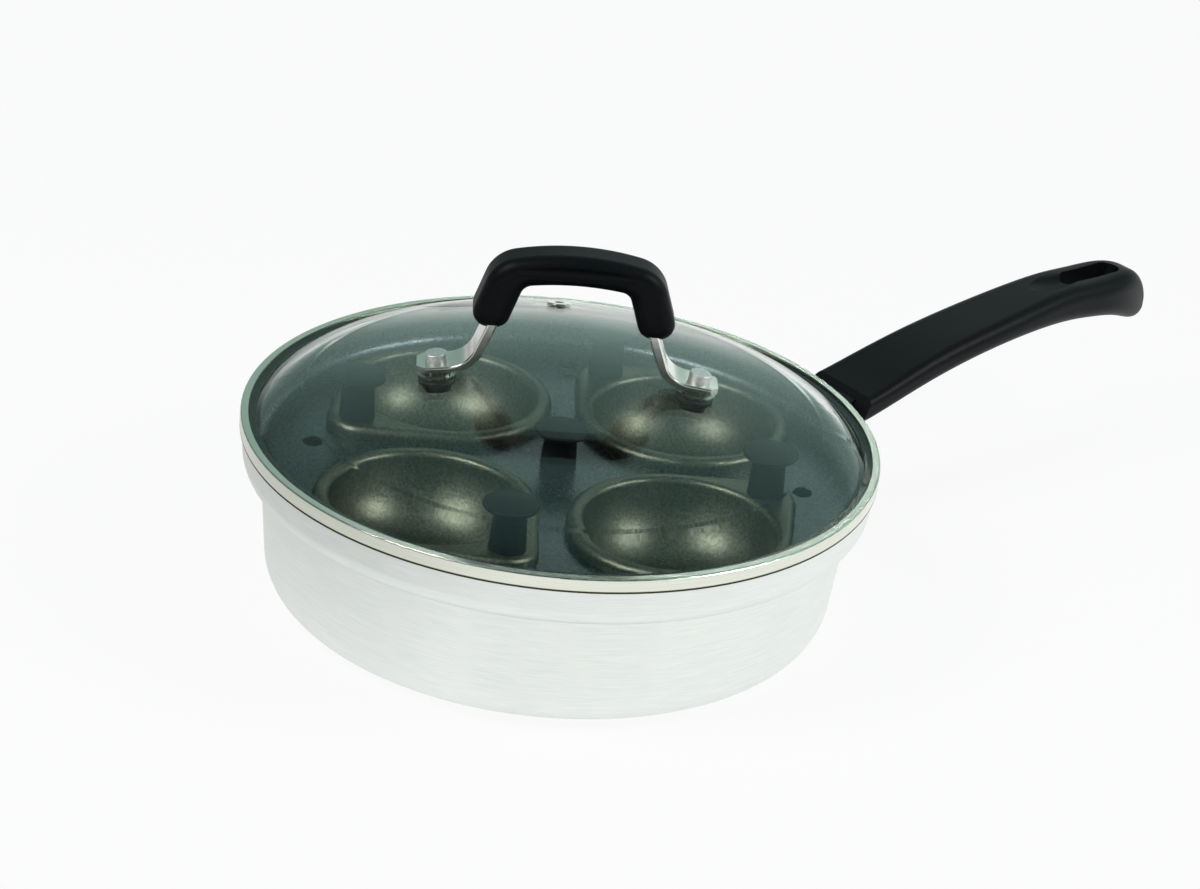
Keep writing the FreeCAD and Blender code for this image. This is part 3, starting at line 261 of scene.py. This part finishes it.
def dark_rubber():
    # Moulded silicone washer: matte charcoal with a faint bloom.
    material, tree, shader, _ = finish_named("moulded_silicone_rubber", Roughness=0.7)
    bloom = add(tree, "ShaderNodeTexNoise",
                {"Vector": stretched(tree, BLOOM_WIDTH), "Scale": 1.0, "Detail": 3.0})
    tone = add(tree, "ShaderNodeMix",
               {"Factor": bloom.outputs["Fac"], "A": linear("1C1D1D"), "B": linear("2A2B2B")},
               data_type="RGBA")
    feed(tree, shader, Base_Color=tone.outputs["Result"])
    return material


ENAMEL = black_enamel()
FINISH_BY_SLOT = {
    "satin_aluminium": spun_aluminium(),
    "black_phenolic": black_phenolic("moulded_black_phenolic", gloss=0.13),
    "black_enamel": ENAMEL,
    "dark_nonstick": nonstick_coating("sprayed_nonstick_coating", "585850", "7A786B", smooth=0.29, pebble=0.9),
    "tempered_glass": tempered_glass(),
    "stainless_band": steel("rolled_stainless_band", "DBE0D2", "F1F4E8", rough=0.2, grain=0.5, gap_shade_foot=BAND_FOOT),
    "polished_stainless": steel("satin_stainless_strap", "E2E4DC", "F4F5F0", rough=0.17, grain=3.0),
    "plated_steel": tumbled_steel(),
    "dark_rubber": dark_rubber(),
}
# Nodes that look different from the rest of their slot; the nuts are dark so that they don't show
# as bright discs through the glass
SPECIAL_FINISH = {
    "poaching_tray": nonstick_coating("rolled_nonstick_coating", "50555A", "6A7177", smooth=0.24, pebble=0.15),
    "lid_collars": steel("polished_stainless_collar", "DADCD6", "F2F3EF", rough=0.1, grain=3.0),
    "lid_nuts": ENAMEL,
    "lid_grip": black_phenolic("dull_black_phenolic", gloss=0.1),
}
for entry in frame["record"]["subparts"]:
    finish = SPECIAL_FINISH.get(entry["node"], FINISH_BY_SLOT[entry["material_slot"]])
    for place in NODES[entry["node"]].material_slots:
        place.material = finish


# Floor, backdrop light and lamps

def studio_place(right, back, up):
    """A place given as the photographer would: to the right, to the back and up, in metres."""
    return Matrix.Rotation(VIEW_AZIMUTH, 3, "Z") @ Vector((right, back, up))


def studio_world():
    """White to the camera; as light and in reflections a lit sweep, dimmer above, at the left and in front."""
    world = bpy.data.worlds.new("white_studio")
    bpy.context.scene.world = world
    world.use_nodes = True
    tree = world.node_tree
    tree.nodes.clear()
    heading = add(tree, "ShaderNodeTexCoord")
    height = add(tree, "ShaderNodeSeparateXYZ", {"Vector": heading.outputs["Generated"]})
    sweep = add(tree, "ShaderNodeValToRGB", {"Fac": height.outputs["Z"]})
    stops = sweep.color_ramp.elements
    stops[0].position, stops[0].color = 0.0, linear(SWEEP_FOOT)
    stops[1].position, stops[1].color = 1.0, linear(SWEEP_TOP)
    for place, shade in SWEEP_BETWEEN:
        stops.new(place).color = linear(shade)
    aside = add(tree, "ShaderNodeVectorMath",
                {0: heading.outputs["Generated"], 1: studio_place(1.0, 0.0, 0.0)}, operation="DOT_PRODUCT")
    share = add(tree, "ShaderNodeMapRange",
                {"Value": aside.outputs["Value"], "From Min": -0.75, "From Max": -0.1,
                 "To Min": SWEEP_LEFT_SHARE})
    ahead = add(tree, "ShaderNodeVectorMath",
                {0: heading.outputs["Generated"], 1: studio_place(0.0, 1.0, 0.0)}, operation="DOT_PRODUCT")
    depth = add(tree, "ShaderNodeMapRange",
                {"Value": ahead.outputs["Value"], "From Min": -0.5, "From Max": 0.15,
                 "To Min": SWEEP_FRONT_SHARE})
    both = add(tree, "ShaderNodeMath",
               {0: share.outputs["Result"], 1: depth.outputs["Result"]}, operation="MULTIPLY")
    path = add(tree, "ShaderNodeLightPath")
    level = add(tree, "ShaderNodeMath",
                {0: both.outputs["Value"], 1: path.outputs["Is Camera Ray"]}, operation="MAXIMUM")
    shown = add(tree, "ShaderNodeMix",
                {"Factor": path.outputs["Is Camera Ray"], "A": sweep.outputs["Color"], "B": linear("FFFFFF")},
                data_type="RGBA")
    sky = add(tree, "ShaderNodeBackground",
              {"Color": shown.outputs["Result"], "Strength": level.outputs["Value"]})
    add(tree, "ShaderNodeOutputWorld", {"Surface": sky.outputs["Background"]})


def studio_floor():
    """Pale floor that reads as white, keeps the part's shadow and is less lit at the left."""
    mesh = bpy.data.meshes.new("floor")
    corners = ((-1, -1), (1, -1), (1, 1), (-1, 1))
    mesh.from_pydata([(x * FLOOR_REACH, y * FLOOR_REACH, FLOOR_HEIGHT) for x, y in corners],
                     [], [(0, 1, 2, 3)])
    floor = bpy.data.objects.new("floor", mesh)
    bpy.context.scene.collection.objects.link(floor)
    material = bpy.data.materials.new("white_paper_sweep")
    material.use_nodes = True
    tree = material.node_tree
    tree.nodes.clear()
    matte = add(tree, "ShaderNodeBsdfDiffuse", {"Color": linear("F4F4F4")})
    place = add(tree, "ShaderNodeTexCoord")
    aside = add(tree, "ShaderNodeVectorMath",
                {0: place.outputs["Object"], 1: studio_place(1.0, 0.0, 0.0)}, operation="DOT_PRODUCT")
    lit = add(tree, "ShaderNodeMapRange",
              {"Value": aside.outputs["Value"], "From Min": -0.3, "From Max": -0.03,
               "To Min": FLOOR_LEFT_SHARE})
    path = add(tree, "ShaderNodeLightPath")
    level = add(tree, "ShaderNodeMath",
                {0: lit.outputs["Result"], 1: path.outputs["Is Camera Ray"]}, operation="MAXIMUM")
    glow = add(tree, "ShaderNodeEmission", {"Color": linear("FFFFFF"), "Strength": level.outputs["Value"]})
    seen = add(tree, "ShaderNodeMath",
               {0: path.outputs["Is Camera Ray"], 1: path.outputs["Is Glossy Ray"]}, operation="MAXIMUM")
    shown = add(tree, "ShaderNodeMath",
                {0: seen.outputs["Value"], 1: path.outputs["Is Transmission Ray"]}, operation="MAXIMUM")
    share = add(tree, "ShaderNodeMath", {0: shown.outputs["Value"], 1: FLOOR_GLOW}, operation="MULTIPLY")
    paper = add(tree, "ShaderNodeMixShader",
                {"Fac": share.outputs["Value"], 1: matte.outputs["BSDF"], 2: glow.outputs["Emission"]})
    add(tree, "ShaderNodeOutputMaterial", {"Surface": paper.outputs["Shader"]})
    mesh.materials.append(material)


def soft_box(name, place, width, height, power):
    """A lamp that makes soft highlights on satin surfaces and no mirror image of itself in the glass."""
    lamp = bpy.data.lights.new(name, "AREA")
    lamp.cycles.use_multiple_importance_sampling = False
    lamp.shape = "RECTANGLE"
    lamp.size = width
    lamp.size_y = height
    lamp.energy = power
    holder = bpy.data.objects.new(name, lamp)
    holder.location = place
    holder.rotation_euler = (SOFT_BOX_AIM - place).to_track_quat("-Z", "Y").to_euler()
    bpy.context.scene.collection.objects.link(holder)


studio_world()
studio_floor()
for name, (place, width, height, power) in SOFT_BOXES.items():
    soft_box(name, studio_place(*place), width, height, power)

camera_data = bpy.data.cameras.new("photo_camera")
camera_data.sensor_width = SENSOR_WIDTH
camera_data.lens = LENS
camera = bpy.data.objects.new("photo_camera", camera_data)
turn = (Matrix.Rotation(VIEW_AZIMUTH, 4, "Z") @ Matrix.Rotation(math.pi / 2 - VIEW_ELEVATION, 4, "X")
        @ Matrix.Rotation(VIEW_ROLL, 4, "Z"))
camera.matrix_world = Matrix.Translation(VIEW_AIM + turn.to_3x3() @ Vector((0, 0, VIEW_DISTANCE))) @ turn
bpy.context.scene.collection.objects.link(camera)
bpy.context.scene.camera = camera
bpy.context.scene.view_settings.view_transform = "Standard"
